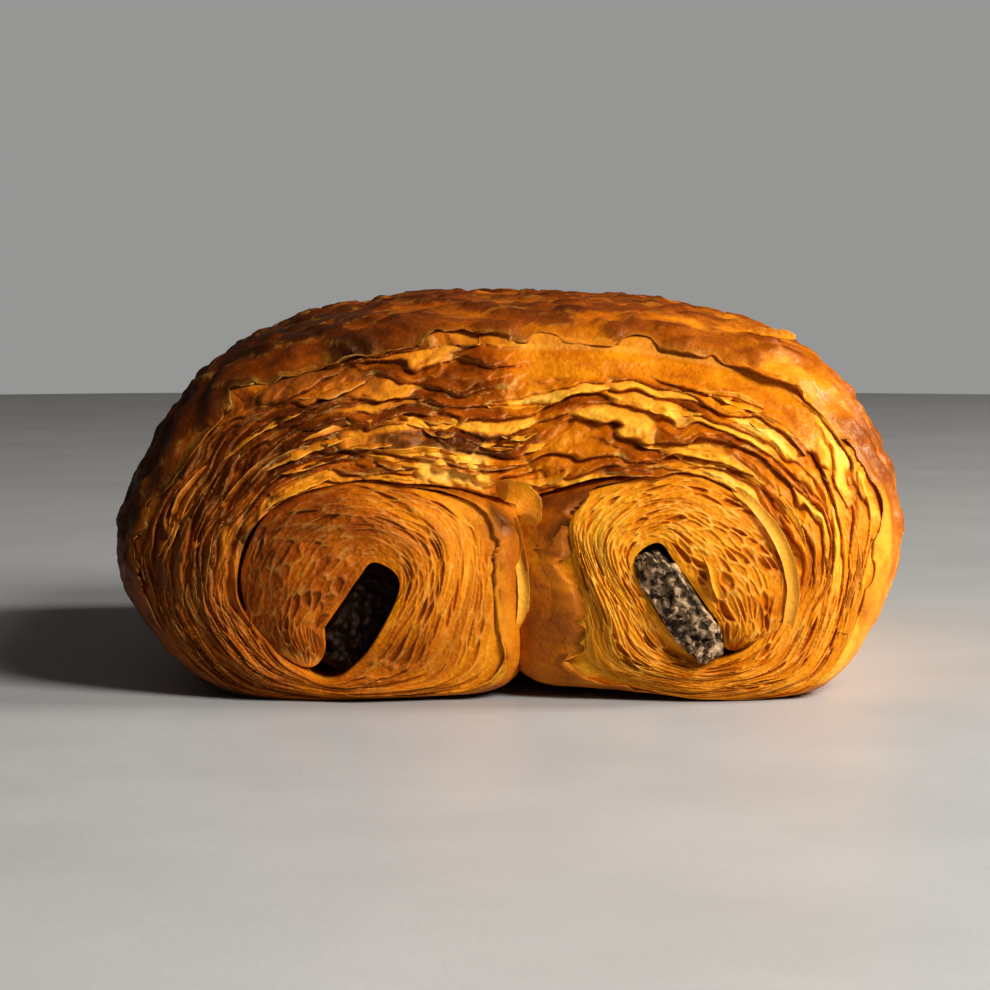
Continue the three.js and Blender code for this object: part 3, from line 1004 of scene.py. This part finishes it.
@dataclass(frozen=True)
class Crust:
    """The outermost layer: a thin skin over the rolls, with a torn edge at each cut end.

    Attributes:
        sheet: the rolled sheet.
        ends: the cut ends that it meets.
        seed: sets its irregularity.
        thickness: of the skin at its torn edges.
        tucked: how far the skin's underside is followed behind its edge.
    """

    sheet: Sheet
    ends: dict[Side, CutEnd]
    seed: int
    thickness: float = 0.14
    tucked: float = 3.0

    def _grain(self, offset: int) -> Grain:
        """A grain of the crust's own."""
        return Grain(self.seed * 103 + offset)

    def _torn(self, side: Side, u: np.ndarray) -> np.ndarray:
        """How the skin's edge has torn: ragged, with nicks, over the rolls, and nearly straight on them.

        Args:
            side: the cut end.
            u: stations.

        Returns:
            How far the edge lies behind the cut edge, in mm, and in front of it where negative.
        """
        s = self.sheet.walked(u)
        tau = terraced(u)
        lane = 3.7 * side.value
        ragged = 1.5 * self._grain(1).rough(s / 9, lane, 2) + 0.8 * self._grain(2).rough(s / 2.6, lane, 3)
        nicks = 1.3 * smoothstep(0.2, 0.8, self._grain(3).smooth(s / 4.3, lane + 0.3))
        rim = self.ends[side].relief(self.ends[side].spot(u, np.ones_like(u))).forward
        return tau * (ragged + nicks - 0.3) + (1 - tau) * (0.15 * self._grain(4).smooth(s / 3.5, lane) - rim)

    def _waves(self, count: np.ndarray, wander: np.ndarray) -> np.ndarray:
        """A sine wave that has passed count crests, plus as many as it wanders."""
        return np.sin(2 * math.pi * (count + wander))

    def _relief(
        self, u: np.ndarray, y: np.ndarray, behind: np.ndarray, z: np.ndarray
    ) -> dict[str, np.ndarray]:
        """The crust's height over the smooth skin, in mm, and how it is browned, with painted shade on the
        left and in the crease and painted light on the right.

        The height adds up broad lumps, blisters (a dome over each of a scattering of centres), wrinkles
        drawn out along the cut edges, the low steps of flakes that have come off, folds down the sides
        and pleats down the crease. All of it dies away on the underside, which was baked flat.

        Args:
            u: stations, one a row.
            y: places along the length.
            behind: the way behind the nearer torn edge.
            z: the height of the smooth skin.

        Returns:
            The height and the attributes.
        """
        s = self.sheet.walked(u)[:, None]
        u = u[:, None]
        lumps = 0.42 * self._grain(5).rough(s / 12, y / 12, 2)
        large = self._grain(6).cells(s / 2.8 + 0.4 * self._grain(7).smooth(s / 3, y / 3), y / 2.8)
        blister = smoothstep(0.35, 0.6, large.share) * smoothstep(0.62, 0.1, large.near)
        small = self._grain(8).cells(s / 1.5, y / 1.5)
        pimple = smoothstep(0.6, 0.8, small.share) * smoothstep(0.5, 0.1, small.near)
        ridge = 1 - 2.2 * np.abs(self._grain(9).rough(s / 5.5, y / 1.7, 3))
        creased = smoothstep(-0.1, 0.5, self._grain(10).smooth(s / 14, y / 14))
        patch = self._grain(11).rough(s / 6.5, y / 5, 4)
        flaked = smoothstep(0.1, 0.15, patch)
        fine = self._grain(12).rough(s / 0.9, y / 0.8, 2)
        tau = terraced(u)
        crease = window(from_tip(u), 4.4, 7.5, 0.4)
        pleat = self._waves(behind / 1.05, 0.7 * self._grain(13).smooth(s / 6, y / 9))
        pleat = (pleat + 1) * crease * (1 - smoothstep(5, 10, behind))
        sides = window(u, 9.7, 12.6, 0.5) + 0.8 * window(LAST - u, 9.7, 12.4, 0.5)
        fold = self._waves(behind / 3.6, 0.8 * self._grain(18).smooth(s / 9, y / 30))
        fold = fold * sides * (1 - smoothstep(9, 16, behind)) * smoothstep(0.0, 1.2, behind)
        height = lumps + 0.42 * blister + 0.14 * pimple + 0.3 * creased * ridge - 0.2 * flaked + 0.07 * fine
        height = height + 0.34 * fold
        lying = 1 - smoothstep(0.3, 2.5, z)
        height = height * (1 - 0.85 * lying) * (0.45 + 0.55 * np.maximum(tau, lying)) + 0.13 * pleat
        height = height - 0.12 * lying * np.maximum(0, self._grain(14).rough(s / 3.5, y / 3.5, 3) + 0.2)
        lifted = (0.18 * self._grain(15).smooth(s / 4, np.sign(y) * 3.3)) * np.exp(-behind / 1.1) * tau
        height = height + np.maximum(0, lifted)
        height = height + np.maximum(0, -0.06 - height) * np.exp(-behind / 3)
        x = self.sheet.line(Line.SKIN, u[:, 0])[:, :1]
        browning_and_shade = 0.72 + 0.26 * self._grain(16).rough(s / 7, y / 6, 4) + 0.13 * blister - 0.17 * flaked
        # Lighter towards the right and darker towards the left, most of all near the front end: partly
        # browning, partly painted light on the lit right side and painted shade on the left.
        browning_and_shade = browning_and_shade - 0.2 * smoothstep(2, 32, x) - 0.1 * creased * ridge
        browning_and_shade = browning_and_shade + smoothstep(-4, -30, x) * (0.1 + 0.2 * smoothstep(5, -32, y))
        # The crust on the rolls' sides is paler, but only half as pale in the crease between the rolls; that
        # darker colour in the crease is painted shade.
        browning_and_shade = browning_and_shade - (1 - tau) * (1 - lying) * (0.24 - 0.12 * window(u, 4.0, 7.6, 0.3))
        browning_and_shade = browning_and_shade - 0.12 * smoothstep(16, 3, z) * (1 - lying) - 0.1 * lying
        browning_and_shade = browning_and_shade - 0.06 * np.exp(-behind / 1.5)
        gloss = (1 - lying) * (0.75 * tau + 0.25 * self._grain(17).smooth(s / 4, y / 4))
        # Painted shade in the valleys of the wrinkles.
        hollow_shade = 0.5 * np.clip(-ridge, 0, 1) * creased * tau
        edge = 0.2 * np.exp(-((behind / 0.3) ** 2)) * (0.3 + 0.7 * tau)
        edge = edge + 0.25 * window(patch, 0.085, 0.125, 0.02) * tau
        looks = {"browning_and_shade": browning_and_shade, "edge": edge, "hollow_shade": hollow_shade, "gloss": gloss}
        return {"height": height} | {key: np.clip(v, 0, 1) for key, v in looks.items()}

    def stretch(self, name: str, first: float, last: float, step: float) -> bpy.types.Object:
        """Makes the crust between two stations, from one cut end to the other.

        Rows run along the sheet. The columns of a row start below the skin behind the front edge, come
        round that edge, cross the pastry and go round the other edge. Each place is moved off the smooth
        skin along its normal, the cross product of the two ways over the grid.

        Args:
            name: the piece's name.
            first, last: the stations it runs between.
            step: the distance between rows and between columns.

        Returns:
            The closed piece.
        """
        sheet = self.sheet
        u = sheet.walk(first, last, step)
        reach = (sheet.plane - sheet.setback(Line.CUT, u))[:, None]
        front = -reach + self._torn(Side.FRONT, u)[:, None]
        back = reach - self._torn(Side.BACK, u)[:, None]
        count = round(2 * float(reach.max()) / step)
        share = np.linspace(0, 1, count)
        share = share - 0.09 * np.sin(2 * math.pi * share) / (2 * math.pi)  # a little closer at the ends
        y = front + (back - front) * share
        smooth = sheet.skin(u[:, None], y)
        along, over = np.gradient(smooth, axis=0), np.gradient(smooth, axis=1)
        normal = unit(np.cross(over, along))
        behind = np.minimum(y - front, back - y)
        relief = self._relief(u, y, behind, smooth[..., 2])
        top = smooth + normal * relief.pop("height")[..., None]
        tuck = np.array([1.0, 0.45, 0.12]) * self.tucked
        sink = self.thickness * np.array([1.6, 1.3, 1.05])
        follow = np.exp(-tuck / 1.5)[:, None]  # the underside lifts with the edge
        before = sheet.skin(u[:, None], front + tuck, sink) + (top[:, :1] - smooth[:, :1]) * follow
        after = sheet.skin(u[:, None], (back - tuck)[:, ::-1], sink[::-1])
        after = after + (top[:, -1:] - smooth[:, -1:]) * follow[::-1]
        lip_front = (top[:, :1] + before[:, -1:]) / 2 + np.array([0, -0.12, 0])
        lip_back = (top[:, -1:] + after[:, :1]) / 2 + np.array([0, 0.12, 0])
        grid = np.concatenate([before, lip_front, top, lip_back, after], axis=1)
        grid[..., 2] = np.maximum(grid[..., 2], 0.0)
        hidden = len(tuck) + 1  # columns past each torn edge, which look like the edge
        values = {key: np.pad(v, ((0, 0), (hidden, hidden)), mode="edge") for key, v in relief.items()}
        return closed_mesh(name, grid, values)


# ---------------------------------------------------------------- the chocolate


@dataclass(frozen=True)
class ChocolateStick:
    """A stick of baking chocolate, softened and settled in the oven.

    Attributes:
        node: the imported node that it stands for.
        lean: of its section from upright, in degrees.
        width, depth: of its section, in mm.
        bloom: how much of it is grey with bloom at the front end.
        proud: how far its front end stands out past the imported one's, in mm.
        seed: sets its irregularity.
        squareness: n in the section's |x / a|^n + |z / b|^n = 1.
        rounding: of the edges of its ends, in mm.
        around, rings, rows: how many points go round it, how many rings fill an end and how many rows lie
            between the ends.
    """

    node: str
    lean: float
    width: float
    depth: float
    bloom: float
    proud: float
    seed: int
    squareness: float = 3.4
    rounding: float = 0.75
    around: int = 132
    rings: int = 34
    rows: int = 190

    def build(self, name: str) -> bpy.types.Object:
        """Makes the stick.

        The rings of an end grow from its middle to the full section, rows of full sections follow to the
        other end, and every point is then moved out by lumps of two sizes, along Y on the ends and along
        the section's radius between them.

        Args:
            name: the piece's name.

        Returns:
            The closed piece.
        """
        low, high = (np.array(corner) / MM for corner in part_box(self.node))
        centre, half = (low + high) / 2, (high - low)[1] / 2
        front, back = -half - self.proud, half
        turn = np.linspace(0, 2 * math.pi, self.around, endpoint=False)
        power = 2 / self.squareness
        c, s = np.cos(turn), np.sin(turn)
        corner = np.stack([np.sign(c) * abs(c) ** power, np.sign(s) * abs(s) ** power], axis=-1)
        section = corner * (self.width / 2, self.depth / 2)
        grow = np.linspace(0.02, 1, self.rings) ** 0.8
        rounding = self.rounding * (1 - np.sqrt(np.maximum(0, 1 - grow**5)))
        size = np.concatenate([grow, np.ones(self.rows), grow[::-1]])
        middle = np.linspace(front + self.rounding, back - self.rounding, self.rows + 2)[1:-1]
        y = np.concatenate([front + rounding, middle, (back - rounding)[::-1]])
        end = np.concatenate([-np.ones(self.rings), np.zeros(self.rows), np.ones(self.rings)])
        xz = section * size[:, None, None]
        y = np.broadcast_to(y[:, None], xz.shape[:2])
        lump, small = Grain(self.seed), Grain(self.seed + 5)
        cap = np.abs(end)[:, None] * smoothstep(1.0, 0.8, size)[:, None]
        flat = lump.rough(xz[..., 0] / 1.5 + 7 * end[:, None], xz[..., 1] / 1.3, 3)
        near = small.cells(xz[..., 0] / 1.25 + 9 * end[:, None], xz[..., 1] / 1.2).near
        bumps = 0.8 * flat + 0.85 * smoothstep(0.6, 0.1, near)
        reach = np.hypot(section[:, 0], section[:, 1])[None, :]
        round_x, round_z = np.cos(turn) * 1.6, np.sin(turn) * 1.6
        side = 0.75 * lump.rough(round_x * 1.7 + y / 2.6, round_z * 1.7 + y / 4.2 + 3, 3)
        side = side * smoothstep(0.5, 1.0, size)[:, None]
        y = y + end[:, None] * cap * bumps
        xz = xz * (1 + side / reach)[..., None]
        tilt = math.radians(self.lean)
        x = centre[0] + xz[..., 0] * math.cos(tilt) + xz[..., 1] * math.sin(tilt)
        z = centre[2] - xz[..., 0] * math.sin(tilt) + xz[..., 1] * math.cos(tilt)
        grid = np.stack([x, y + centre[1], z], axis=-1)
        # raised is high on the lumps and places the bloom; its low values paint shade into the hollows.
        raised = np.clip(0.3 + bumps * cap + side, 0, 1) * (0.35 + 0.65 * self.bloom)
        ends = np.clip(np.abs(end)[:, None] * smoothstep(0.0, 1.5, half - np.abs(y) + 1.5), 0, 1)
        bloom = np.clip(self.bloom * 1.7 * raised * (0.15 + 0.85 * ends) * np.ones_like(x), 0, 1)
        return closed_mesh(name, grid, {"bloom": bloom, "raised": raised})


# ---------------------------------------------------------------- finishes


class Bench:
    """Lays out the nodes of one material."""

    def __init__(self, name: str) -> None:
        """Starts a material called name with a principled surface."""
        self.material = bpy.data.materials.new(name)
        self.material.use_nodes = True
        self.nodes, self.links = self.material.node_tree.nodes, self.material.node_tree.links
        self.surface = self.nodes["Principled BSDF"]
        self._place = None

    def put(
        self, kind: str, sockets: dict[str | int, object], output: str | int = 0, **settings: str | bool
    ) -> Socket:
        """Adds a node.

        Args:
            kind: the node's kind, without ShaderNode in front.
            sockets: for inputs of the node, the output that feeds each one or the number it is set to.
            output: the output that is wanted.
            settings: the node's own settings.

        Returns:
            That output.
        """
        node = self.nodes.new(f"ShaderNode{kind}")
        for key, setting in settings.items():
            setattr(node, key, setting)
        for key, value in sockets.items():
            if isinstance(value, Socket):
                self.links.new(value, node.inputs[key])
            else:
                node.inputs[key].default_value = value
        return node.outputs[output]

    def feed(self, source: Socket, key: str) -> None:
        """Links an output to the surface's input called key."""
        self.links.new(source, self.surface.inputs[key])

    def fixed(self, **numbers: float | tuple) -> None:
        """Sets the surface's own sockets, named with _ for each space."""
        for key, number in numbers.items():
            self.surface.inputs[key.replace("_", " ")].default_value = number

    def attribute(self, name: str) -> Socket:
        """The number that the mesh holds under name."""
        return self.put("Attribute", {}, "Fac", attribute_name=name)

    def place(self) -> Socket:
        """The object's own coordinates, in metres."""
        if self._place is None:
            self._place = self.put("TexCoord", {}, "Object")
        return self._place

    def noise(self, size_mm: float, detail: float = 3.0, rough: float = 0.55) -> Socket:
        """Noise with features about size_mm across."""
        sockets = {"Scale": 1 / (size_mm * MM), "Detail": detail, "Roughness": rough, "Vector": self.place()}
        return self.put("TexNoise", sockets, "Fac")

    def cells(self, size_mm: float) -> Socket:
        """The distance to the nearest of centres scattered about size_mm apart."""
        return self.put("TexVoronoi", {"Scale": 1 / (size_mm * MM), "Vector": self.place()}, "Distance")

    def sum(self, a: Socket, b: Socket, times: float = 1.0, plus: float = 0.0) -> Socket:
        """a + times * (b + plus)."""
        shifted = self.put("Math", {0: b, 1: plus}, operation="ADD")
        return self.put("Math", {0: shifted, 1: times, 2: a}, operation="MULTIPLY_ADD")

    def product(self, a: Socket, b: Socket | float) -> Socket:
        """a times b, held between 0 and 1."""
        return self.put("Math", {0: a, 1: b}, operation="MULTIPLY", use_clamp=True)

    def span(self, value: Socket, low: float, high: float, to_low: float, to_high: float) -> Socket:
        """value carried from the span low to high over to the span to_low to to_high, and held there."""
        sockets = {"From Min": low, "From Max": high, "To Min": to_low, "To Max": to_high, "Value": value}
        return self.put("MapRange", sockets, "Result")

    def ramp(self, value: Socket, stops: tuple) -> Socket:
        """A colour that runs through several ones.

        Args:
            value: a number from 0 to 1.
            stops: for each of the colours, its place from 0 to 1 and the colour.

        Returns:
            The colours, blended at value.
        """
        colour = self.put("ValToRGB", {"Fac": value}, "Color")
        band = colour.node.color_ramp.elements
        while len(band) < len(stops):
            band.new(0.5)
        for element, (place, shade) in zip(band, stops):
            element.position = place
            element.color = (*shade, 1)
        return colour

    def mix(self, share: Socket, a: Socket | tuple, b: Socket | tuple) -> Socket:
        """Colour a, with a share of colour b laid over it."""
        a, b = ((*colour, 1) if isinstance(colour, tuple) else colour for colour in (a, b))
        return self.put("Mix", {"Factor": share, 6: a, 7: b}, 2, data_type="RGBA")

    def bump(self, height: Socket, depth_mm: float, strength: float = 1.0) -> None:
        """Roughens the surface by height, which counts for depth_mm where it is 1."""
        sockets = {"Distance": depth_mm * MM, "Strength": strength, "Height": height}
        self.feed(self.put("Bump", sockets, "Normal"), "Normal")


@dataclass(frozen=True)
class DoughFinish:
    """Baked laminated dough, from pale cream to dark brown.

    Attributes:
        name: the material's name.
        stops: the colours from the least browned to the most.
        cream: the colour of a layer's cut edge.
        depth: the colour of the painted shade in the hollows between the layers.
        mottle_mm: the size of the blotches.
        grain_mm: the size of the finest grain.
        relief_mm: how deep the grain is.
        rough: the roughness where the surface is dull and where it is glazed.
        shine: how strong its reflections are.
        tint: their colour, warmed by the brown layer under the glaze.
        coat, coat_rough: how thick the egg wash is and how rough.
        glow: how much light goes through the surface and comes out beside it.
        reach, reach_m: how far red, green and blue light get, as shares of a distance in metres.
    """

    name: str
    stops: tuple
    cream: tuple[float, float, float] = (0.95, 0.56, 0.11)
    depth: tuple[float, float, float] = (0.46, 0.10, 0.001)
    mottle_mm: float = 3.0
    grain_mm: float = 0.45
    relief_mm: float = 0.10
    rough: tuple[float, float] = (0.62, 0.3)
    shine: float = 0.28
    tint: tuple[float, float, float, float] = (1.0, 0.74, 0.38, 1.0)
    coat: float = 0.0
    coat_rough: float = 0.16
    glow: float = 0.08
    reach: tuple[float, float, float] = (1.0, 0.36, 0.1)
    reach_m: float = 0.0016

    def make(self) -> bpy.types.Material:
        """Lays out the material.

        Returns:
            The material.
        """
        bench = Bench(self.name)
        mottle = bench.noise(self.mottle_mm, 4.0, 0.6)
        grain = bench.noise(self.grain_mm, 3.0, 0.6)
        speck = bench.cells(0.55)
        browning_and_shade = bench.sum(bench.attribute("browning_and_shade"), mottle, 0.34, -0.5)
        browning_and_shade = bench.sum(browning_and_shade, grain, 0.22, -0.5)
        colour = bench.ramp(browning_and_shade, self.stops)
        # Painted shade: the colour is drawn towards the depth colour where the mesh marks a place as shut in.
        hollow_shade = bench.product(bench.attribute("hollow_shade"), 0.72)
        colour = bench.mix(hollow_shade, colour, self.depth)
        edge = bench.product(bench.attribute("edge"), bench.span(grain, 0.3, 0.62, 0.35, 0.95))
        colour = bench.mix(edge, colour, self.cream)
        bench.feed(colour, "Base Color")
        gloss = bench.sum(bench.attribute("gloss"), mottle, 0.4, -0.5)
        bench.feed(bench.span(gloss, 0.0, 1.0, *self.rough), "Roughness")
        height = bench.sum(grain, speck, -0.5)
        bench.bump(bench.sum(height, mottle, 0.8), self.relief_mm)
        bench.fixed(Coat_Weight=self.coat, Coat_Roughness=self.coat_rough)
        bench.fixed(Specular_IOR_Level=self.shine, Specular_Tint=self.tint)
        bench.fixed(Subsurface_Weight=self.glow, Subsurface_Radius=self.reach, Subsurface_Scale=self.reach_m)
        return bench.material


LAYERS_FINISH = DoughFinish(
    name="baked_layers",
    stops=(
        (0.0, (0.95, 0.55, 0.10)),
        (0.2, (0.90, 0.40, 0.018)),
        (0.4, (0.78, 0.26, 0.003)),
        (0.6, (0.54, 0.13, 0.001)),
        (0.8, (0.26, 0.044, 0.001)),
        (1.0, (0.09, 0.014, 0.001)),
    ),
)
CRUST_FINISH = DoughFinish(
    name="glazed_crust",
    stops=(
        (0.0, (0.90, 0.42, 0.03)),
        (0.25, (0.74, 0.24, 0.006)),
        (0.45, (0.46, 0.11, 0.001)),
        (0.65, (0.22, 0.04, 0.001)),
        (0.82, (0.10, 0.017, 0.001)),
        (1.0, (0.035, 0.007, 0.001)),
    ),
    cream=(0.86, 0.42, 0.05),
    mottle_mm=2.6,
    grain_mm=0.5,
    relief_mm=0.08,
    rough=(0.64, 0.34),
    coat=0.08,
)


@dataclass(frozen=True)
class ChocolateFinish:
    """Dark chocolate with grey bloom on its raised places.

    Attributes:
        name: the material's name.
        dark, brown: the colours of its hollows and of its raised places; the darker hollows are painted
            shade.
        grey: the colour of the bloom.
        rough: the roughness where it is bare and where it is covered with bloom.
        shine: how strong its reflections are.
    """

    name: str = "dark_chocolate"
    dark: tuple[float, float, float] = (0.010, 0.0035, 0.002)
    brown: tuple[float, float, float] = (0.016, 0.005, 0.0015)
    grey: tuple[float, float, float] = (0.88, 0.60, 0.37)
    rough: tuple[float, float] = (0.42, 0.8)
    shine: float = 0.12

    def make(self) -> bpy.types.Material:
        """Lays out the material.

        Returns:
            The material.
        """
        bench = Bench(self.name)
        grain = bench.noise(0.7, 4.0, 0.65)
        fine = bench.noise(0.16, 3.0, 0.6)
        raised = bench.attribute("raised")
        # Painted shade: darker where raised is low, in the hollows between the lumps.
        colour = bench.ramp(bench.sum(raised, grain, 0.7, -0.5), ((0.3, self.dark), (0.8, self.brown)))
        patch = bench.sum(bench.noise(1.3, 4.0, 0.65), grain, 0.7, -0.5)
        dust = bench.product(bench.attribute("bloom"), bench.span(patch, 0.44, 0.62, 0.03, 1.0))
        bench.feed(bench.mix(dust, colour, self.grey), "Base Color")
        dull = bench.span(bench.sum(dust, grain, 0.4, -0.5), 0.0, 0.7, *self.rough)
        bench.fixed(Specular_IOR_Level=self.shine)
        bench.feed(dull, "Roughness")
        bench.bump(bench.sum(grain, fine, 0.6), 0.14)
        return bench.material


# ---------------------------------------------------------------- the studio


class Studio:
    """A plain pale floor, soft light from the right, and a camera a little above the floor."""

    elevation = 4.5  # degrees above the level
    distance = 0.330  # metres from the front of the pastry
    lens, sensor = 120.0, 36.0  # millimetres
    aim = (-0.0017, 0.0211)  # x and z that the camera looks at

    table = 0.62  # the radius of the floor, in metres
    corners = 180  # of the floor's rim
    pale = ((0.41, 0.425, 0.485), (0.47, 0.485, 0.55))  # the floor's two shades

    warm = (1.0, 0.935, 0.77)  # the lamps' colour
    lamps = (  # name, degrees round from the front towards +X, degrees above the level, metres, side, watts
        ("key_light", 96, 29, 0.8, 0.24, 5.6),
        ("window", 46, 33, 0.5, 0.2, 3.3),
    )
    lit = Vector((0, 0, 0.02))  # the place that the lamps point at
    seen = (0.305, 0.305, 0.30, 1)  # the wall behind, as the camera sees it
    felt = (0.05, 0.047, 0.04, 1)  # the light that the room gives

    def __init__(self, front: float) -> None:
        """Takes front, where the front of the pastry is along Y."""
        self.front = front

    def floor(self) -> None:
        """Makes the floor."""
        turn = np.linspace(0, 2 * math.pi, self.corners, endpoint=False)
        rim = np.stack([np.cos(turn), np.sin(turn), 0 * turn], axis=-1) * self.table / MM
        ground = mesh_object("floor", rim, [np.arange(len(rim))[None]], {})
        bench = Bench("pale_floor")
        shade = bench.ramp(bench.noise(30.0, 6.0, 0.6), ((0.3, self.pale[0]), (0.7, self.pale[1])))
        bench.feed(shade, "Base Color")
        bench.fixed(Roughness=0.42, Specular_IOR_Level=0.45)
        bench.bump(bench.noise(0.8, 4.0, 0.6), 0.05, 0.5)
        ground.data.materials.append(bench.material)

    def lamp(
        self, name: str, azimuth: float, elevation: float, away: float, size: float, watts: float
    ) -> None:
        """Hangs a square soft light that points at the pastry.

        Args:
            name: the light's name.
            azimuth: degrees round from the front, towards +X.
            elevation: degrees above the level.
            away: its distance in metres.
            size: its side in metres.
            watts: its power.
        """
        a, e = math.radians(azimuth), math.radians(elevation)
        ray = Vector((math.sin(a) * math.cos(e), -math.cos(a) * math.cos(e), math.sin(e)))
        light = bpy.data.lights.new(name, "AREA")
        light.size = size
        light.energy = watts
        light.color = self.warm
        lamp = bpy.data.objects.new(name, light)
        lamp.location = ray * away + self.lit
        lamp.rotation_mode = "QUATERNION"
        lamp.rotation_quaternion = (-ray).to_track_quat("-Z", "Y")
        bpy.context.scene.collection.objects.link(lamp)

    def light(self) -> None:
        """Hangs the lights and sets the dim, even light of the room."""
        for lamp in self.lamps:
            self.lamp(*lamp)
        world = bpy.data.worlds.new("room")
        world.use_nodes = True
        nodes, links = world.node_tree.nodes, world.node_tree.links
        seen = nodes["Background"]
        seen.inputs["Color"].default_value = self.seen
        felt = nodes.new("ShaderNodeBackground")
        felt.inputs["Color"].default_value = self.felt
        rays, mix = nodes.new("ShaderNodeLightPath"), nodes.new("ShaderNodeMixShader")
        links.new(rays.outputs["Is Camera Ray"], mix.inputs[0])
        links.new(felt.outputs[0], mix.inputs[1])
        links.new(seen.outputs[0], mix.inputs[2])
        links.new(mix.outputs[0], nodes["World Output"].inputs["Surface"])
        bpy.context.scene.world = world
        bpy.context.scene.view_settings.view_transform = "Standard"

    def camera(self) -> None:
        """Sets up the camera, looking along +Y and down on the pastry."""
        e = math.radians(self.elevation)
        back = Vector((0, -math.cos(e), math.sin(e)))
        camera = bpy.data.cameras.new("camera")
        camera.lens, camera.sensor_width = self.lens, self.sensor
        holder = bpy.data.objects.new("camera", camera)
        holder.location = Vector((self.aim[0], self.front, self.aim[1])) + back * self.distance
        holder.rotation_euler = (math.radians(90 - self.elevation), 0, 0)
        bpy.context.scene.collection.objects.link(holder)
        bpy.context.scene.camera = holder


# ---------------------------------------------------------------- the pastry

STRIPS = {
    "peeled_strip": Strip(
        path=(
            (22.2, 42.6, 21.6), (24.6, 43.6, 19.6), (27.2, 44.0, 15.8), (28.3, 43.8, 11.0), (27.6, 43.2, 6.2)
        ),
        width=1.25,
        turned=(16, -6),
        browning_and_shade=0.34,
        edge=0.5,
        seed=61,
    ),
    "crease_curl": Strip(
        path=(
            (-1.6, 42.2, 21.2), (-0.2, 43.6, 21.3), (1.2, 44.2, 20.6), (1.9, 43.9, 19.2), (1.6, 43.2, 18.0)
        ),
        width=2.6,
        turned=(40, -12),
        browning_and_shade=0.5,
        edge=0.08,
        seed=67,
    ),
    "crease_film": Strip(
        path=((0.3, 41.6, 18.6), (0.9, 42.2, 15.2), (1.2, 42.6, 11.6), (1.1, 42.3, 8.8), (0.7, 41.6, 6.6)),
        width=1.3,
        turned=(-35, 30),
        browning_and_shade=0.3,
        edge=0.45,
        seed=73,
    ),
    "rim_flake": Strip(
        path=((24.8, 27.0, 36.8), (26.2, 27.1, 36.6), (28.0, 27.2, 36.4), (30.0, 27.0, 36.3)),
        width=1.2,
        turned=(64, 40),
        browning_and_shade=0.5,
        edge=0.1,
        seed=79,
    ),
    "slot_flap": Strip(
        path=((19.0, 44.6, 15.6), (19.8, 45.4, 13.9), (20.3, 45.4, 12.0), (21.1, 44.8, 10.4)),
        width=0.8,
        turned=(35, 10),
        browning_and_shade=0.32,
        edge=0.2,
        seed=71,
    ),
}


class Pastry:
    """The whole pain au chocolat."""

    def __init__(self) -> None:
        """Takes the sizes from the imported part."""
        self.sheet = Sheet(*CAD_BOX)
        self.layers = LAYERS_FINISH.make()
        self.glaze = CRUST_FINISH.make()
        self.chocolate = ChocolateFinish().make()

    def settle(self, piece: bpy.types.Object, finish: bpy.types.Material, node: str) -> None:
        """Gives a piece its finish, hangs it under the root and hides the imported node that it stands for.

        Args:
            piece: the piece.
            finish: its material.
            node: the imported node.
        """
        piece.data.materials.append(finish)
        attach(piece, "root")
        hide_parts(node)
        size = np.ptp(np.array(piece.bound_box), axis=0) / MM
        log.info("%s: %d faces, %s mm", piece.name, len(piece.data.polygons), np.round(size, 1))

    def build(self) -> None:
        """Builds every piece."""
        ends = {
            "front": CutEnd(self.sheet, Side.FRONT, 11, bare=(0.0, 31.0)),
            "back": CutEnd(self.sheet, Side.BACK, 29, bare=(-30.0, -8.0)),
        }
        spans = {
            "right_roll": (0.0, ROLL_ENDS),
            "top": (ROLL_ENDS, LAST - ROLL_ENDS),
            "left_roll": (LAST - ROLL_ENDS, LAST),
        }
        for place, end in ends.items():
            for part, span in spans.items():
                piece = end.stretch(f"{place}_layers_{part}", *span)
                self.settle(piece, self.layers, "rolled_dough")
            flakes = Flakes(end, end.seed + 4).build(f"{place}_loose_flakes")
            self.settle(flakes, self.layers, "rolled_dough")
        for name, strip in STRIPS.items():
            self.settle(strip.build(name), self.layers, "rolled_dough")
        crust = Crust(self.sheet, {end.side: end for end in ends.values()}, 7)
        for name, first, last, step in (
            ("crust_top", FOOT, LAST - FOOT, 0.36),
            ("crust_base_right", SKIN_STARTS, FOOT, 0.42),
            ("crust_base_left", LAST - FOOT, LAST - SKIN_STARTS, 0.42),
        ):
            self.settle(crust.stretch(name, first, last, step), self.glaze, "rolled_dough")
        for stick in (
            ChocolateStick("chocolate_stick_right", -35, 4.2, 12.8, 1.0, 0.5, 41),
            ChocolateStick("chocolate_stick_left", 29, 4.8, 12.6, 0.02, -2.2, 43),
        ):
            self.settle(stick.build(stick.node + "_baked"), self.chocolate, stick.node)


def main() -> None:
    logging.basicConfig(level=logging.INFO, format="%(name)s %(message)s")
    Pastry().build()
    studio = Studio(CAD_BOX[0].y)
    studio.floor()
    studio.light()
    studio.camera()


if __name__ == "__main__":
    main()
